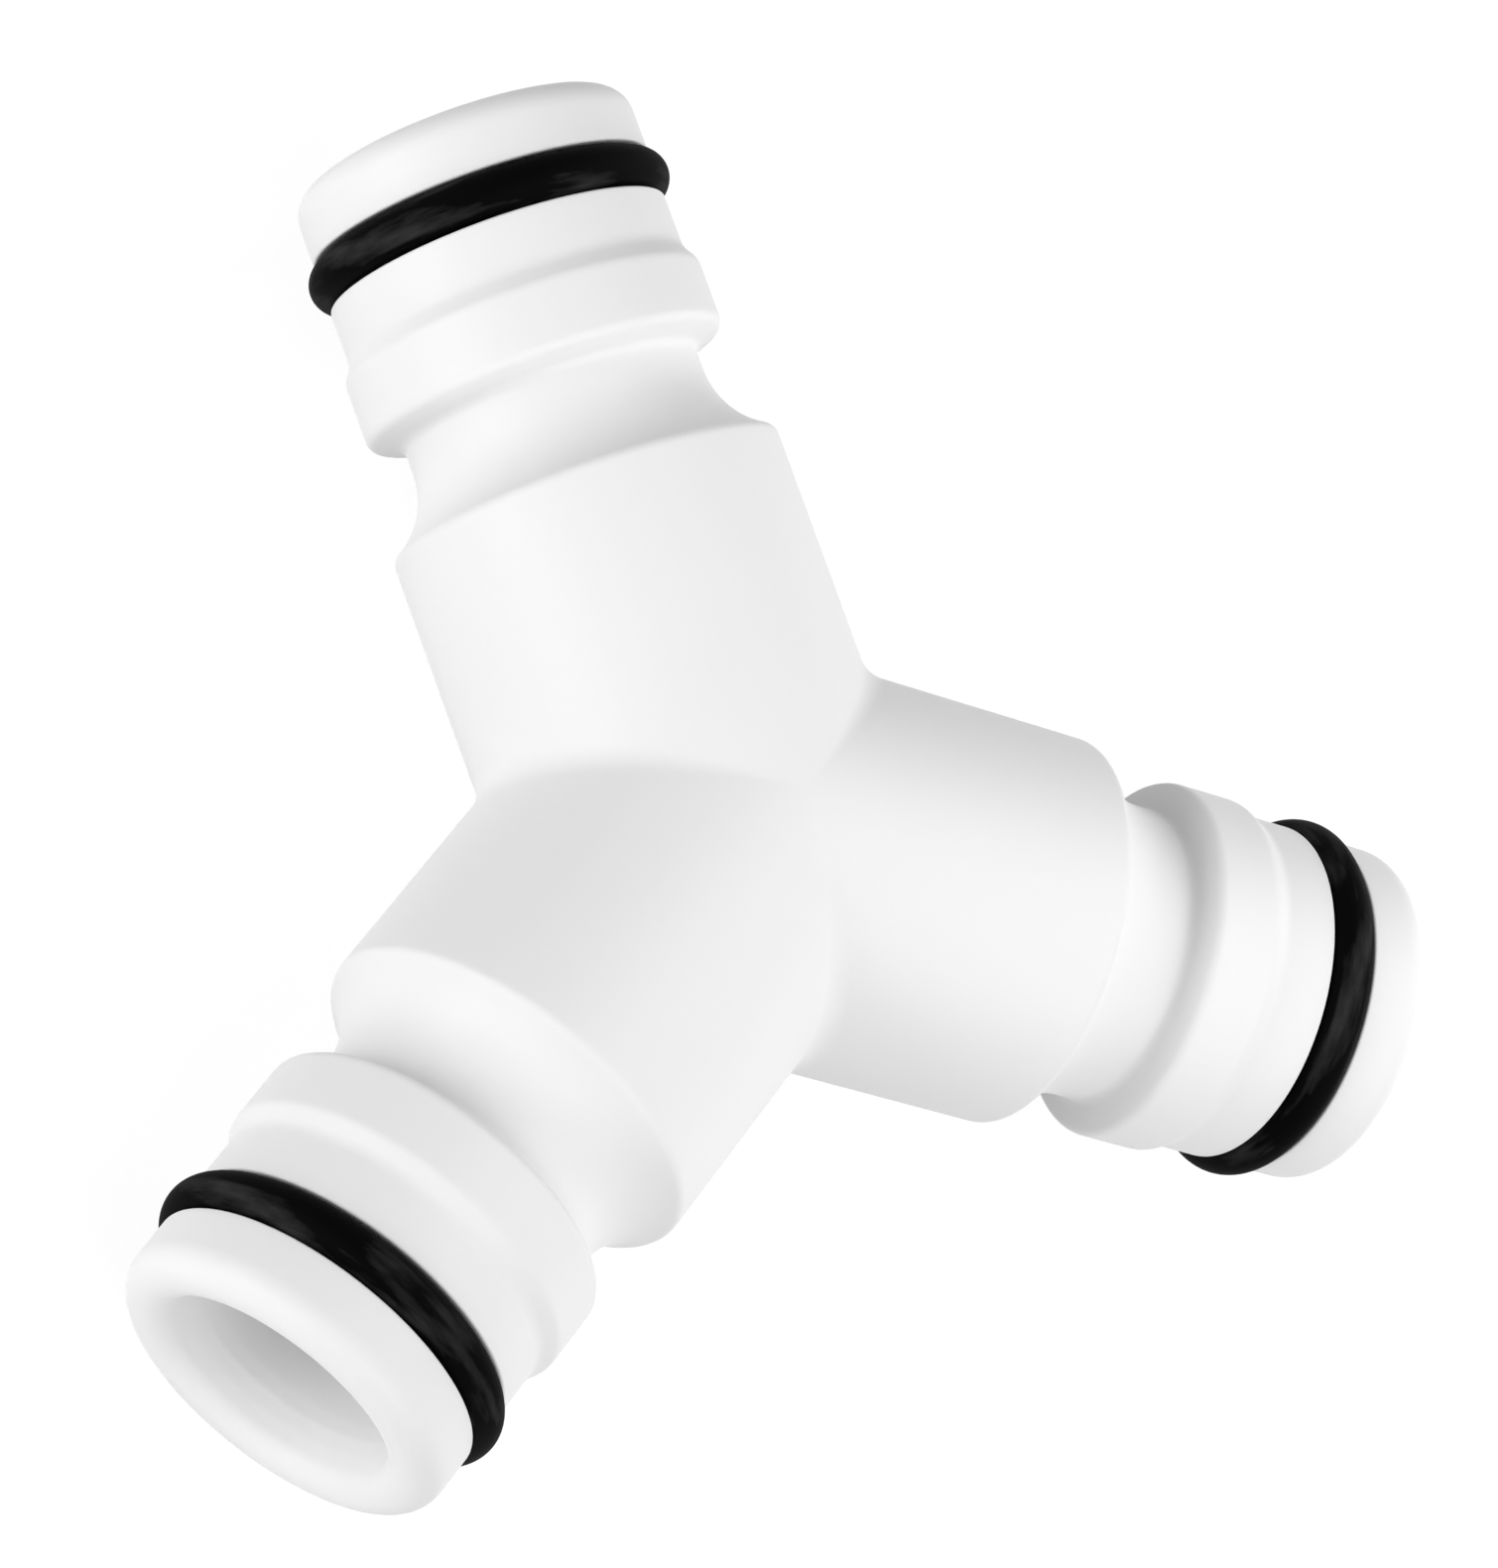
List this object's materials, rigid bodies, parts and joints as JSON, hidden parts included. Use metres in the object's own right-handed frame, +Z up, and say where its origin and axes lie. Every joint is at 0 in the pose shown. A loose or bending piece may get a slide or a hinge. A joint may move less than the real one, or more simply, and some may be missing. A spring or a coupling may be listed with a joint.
{
  "type": "three-way hose connector",
  "caption": "Moulded white plastic Y-shaped hose connector: equal quick-connect nipples meet at a hub, each with a collar and a black rubber sealing ring.",
  "frame": {"origin": "hub centre, where the axes of the arms meet", "axes": "the arms lie in the XY plane, the rear arm along +Y; +Z is up, normal to that plane, with the part lying flat on its barrels"},
  "size_m": [0.0658, 0.0572, 0.0184],
  "materials": {
    "body": "satin",
    "o_ring": "matte"
  },
  "bodies": {
    "root": {"body": "body", "o_ring_rear": "o_ring", "o_ring_left": "o_ring", "o_ring_right": "o_ring"}
  },
  "joints": []
}
